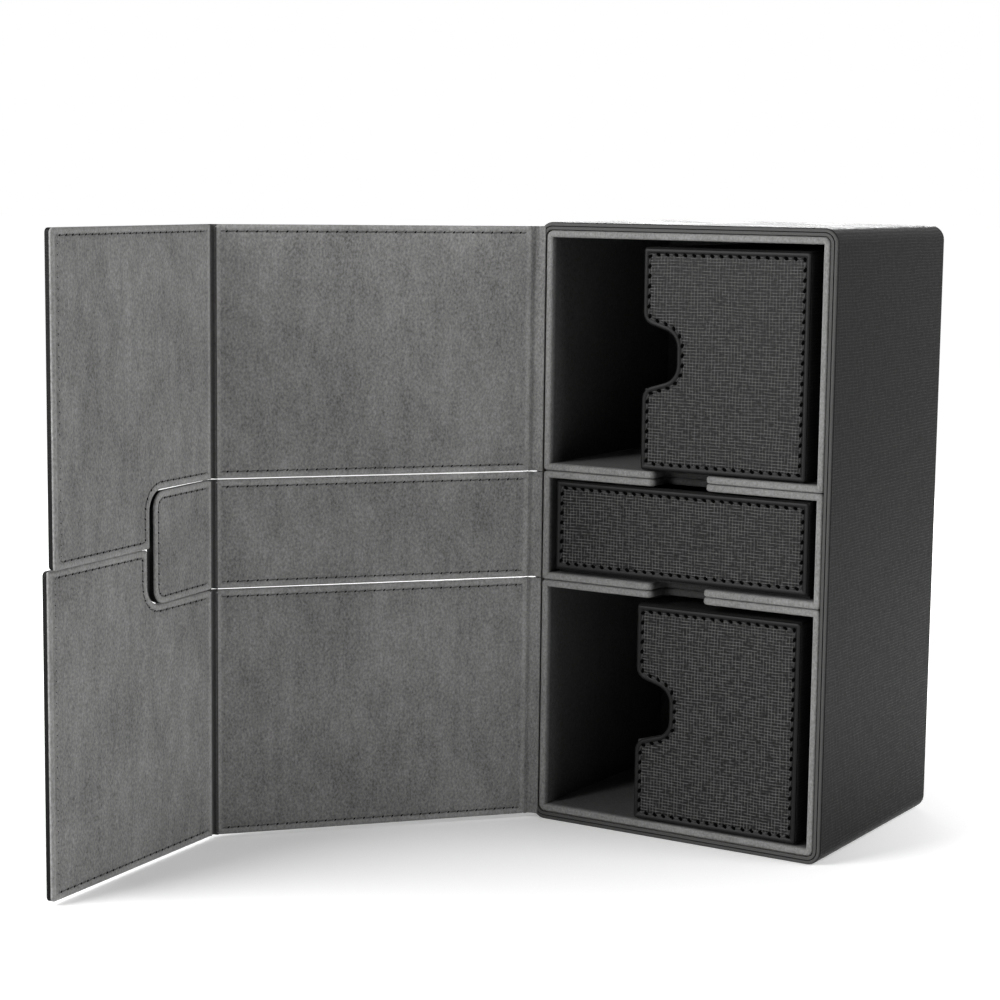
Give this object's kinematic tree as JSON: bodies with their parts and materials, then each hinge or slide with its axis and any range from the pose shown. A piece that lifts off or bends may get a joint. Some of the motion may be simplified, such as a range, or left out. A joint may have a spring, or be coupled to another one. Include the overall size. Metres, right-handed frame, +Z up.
{
  "type": "playing card box with drawer",
  "caption": "Upright box for decks of playing cards, with a drawer between its deck bays, pull-out deck trays, and hinged lids whose flaps fold round the side and close by magnets.",
  "frame": {"origin": "centre of the box's bottom face, where it stands on the table", "axes": "+Z up; the opening with its lids faces -Y; the lids hinge on the left, at -X, and their flaps close round the right side, at +X"},
  "size_m": [0.1869, 0.2653, 0.209],
  "materials": {
    "leather": "matt, fine-grained artificial leather",
    "leather_front": "matt, fine-grained artificial leather",
    "leather_inside": "matt artificial leather",
    "hinge_strip": "suede microfibre",
    "suede_lining": "suede microfibre with a short nap",
    "suede_liner": "suede microfibre with a short nap",
    "board": "raw greyboard",
    "magnet": "nickel plate"
  },
  "bodies": {
    "box": {"shell_cover": "leather", "shell_board": "board", "shell_magnets": "magnet", "deck_liner_upper": "suede_liner", "drawer_liner": "suede_liner", "deck_liner_lower": "suede_liner"},
    "lid_upper": {"lid_upper_cover": "leather", "lid_upper_board": "board", "lid_upper_lining": "suede_lining", "spine_hinge_upper": "hinge_strip", "fold_hinge_upper": "hinge_strip"},
    "flap_upper": {"flap_upper_cover": "leather", "flap_upper_board": "board", "flap_upper_lining": "suede_lining", "flap_upper_magnets": "magnet"},
    "lid_middle": {"lid_middle_cover": "leather", "lid_middle_board": "board", "lid_middle_lining": "suede_lining", "spine_hinge_middle": "hinge_strip", "fold_hinge_middle": "hinge_strip"},
    "flap_middle": {"flap_middle_cover": "leather", "flap_middle_board": "board", "flap_middle_lining": "suede_lining", "flap_middle_magnets": "magnet"},
    "lid_lower": {"lid_lower_cover": "leather", "lid_lower_board": "board", "lid_lower_lining": "suede_lining", "spine_hinge_lower": "hinge_strip", "fold_hinge_lower": "hinge_strip"},
    "flap_lower": {"flap_lower_cover": "leather", "flap_lower_board": "board", "flap_lower_lining": "suede_lining", "flap_lower_magnets": "magnet"},
    "drawer": {"drawer_front_cover": "leather_front", "drawer_front_board": "board", "drawer_tray": "leather_inside", "drawer_lining": "suede_lining"},
    "deck_tray_upper": {"deck_tray_upper": "leather_front", "deck_tray_lining_upper": "suede_lining"},
    "deck_tray_lower": {"deck_tray_lower": "leather_front", "deck_tray_lining_lower": "suede_lining"}
  },
  "joints": [
    {"name": "lid_upper_hinge", "type": "hinge", "parent": "box", "child": "lid_upper", "pos_m": [-0.0563, -0.0463, 0.1045], "axis": [0, 0, -1], "range_deg": [-130.6, 79.4]},
    {"name": "flap_upper_fold", "type": "hinge", "parent": "lid_upper", "child": "flap_upper", "pos_m": [-0.12958, -0.13179, 0.1045], "axis": [0, 0, -1], "range_deg": [-42.9, 77.1]},
    {"name": "lid_middle_hinge", "type": "hinge", "parent": "box", "child": "lid_middle", "pos_m": [-0.0563, -0.0463, 0.1045], "axis": [0, 0, -1], "range_deg": [-130.6, 79.4]},
    {"name": "flap_middle_fold", "type": "hinge", "parent": "lid_middle", "child": "flap_middle", "pos_m": [-0.12958, -0.13179, 0.1045], "axis": [0, 0, -1], "range_deg": [-41.2, 78.8]},
    {"name": "lid_lower_hinge", "type": "hinge", "parent": "box", "child": "lid_lower", "pos_m": [-0.0563, -0.0463, 0.1045], "axis": [0, 0, -1], "range_deg": [-130.6, 79.4]},
    {"name": "flap_lower_fold", "type": "hinge", "parent": "lid_lower", "child": "flap_lower", "pos_m": [-0.12958, -0.13179, 0.1045], "axis": [0, 0, -1], "range_deg": [-44.5, 75.5]},
    {"name": "drawer_slide", "type": "slide", "parent": "box", "child": "drawer", "axis": [0, -1, 0], "range_m": [0, 0.07]},
    {"name": "deck_tray_upper_slide", "type": "slide", "parent": "box", "child": "deck_tray_upper", "axis": [0, -1, 0], "range_m": [0, 0.075]},
    {"name": "deck_tray_lower_slide", "type": "slide", "parent": "box", "child": "deck_tray_lower", "axis": [0, -1, 0], "range_m": [0, 0.075]}
  ]
}
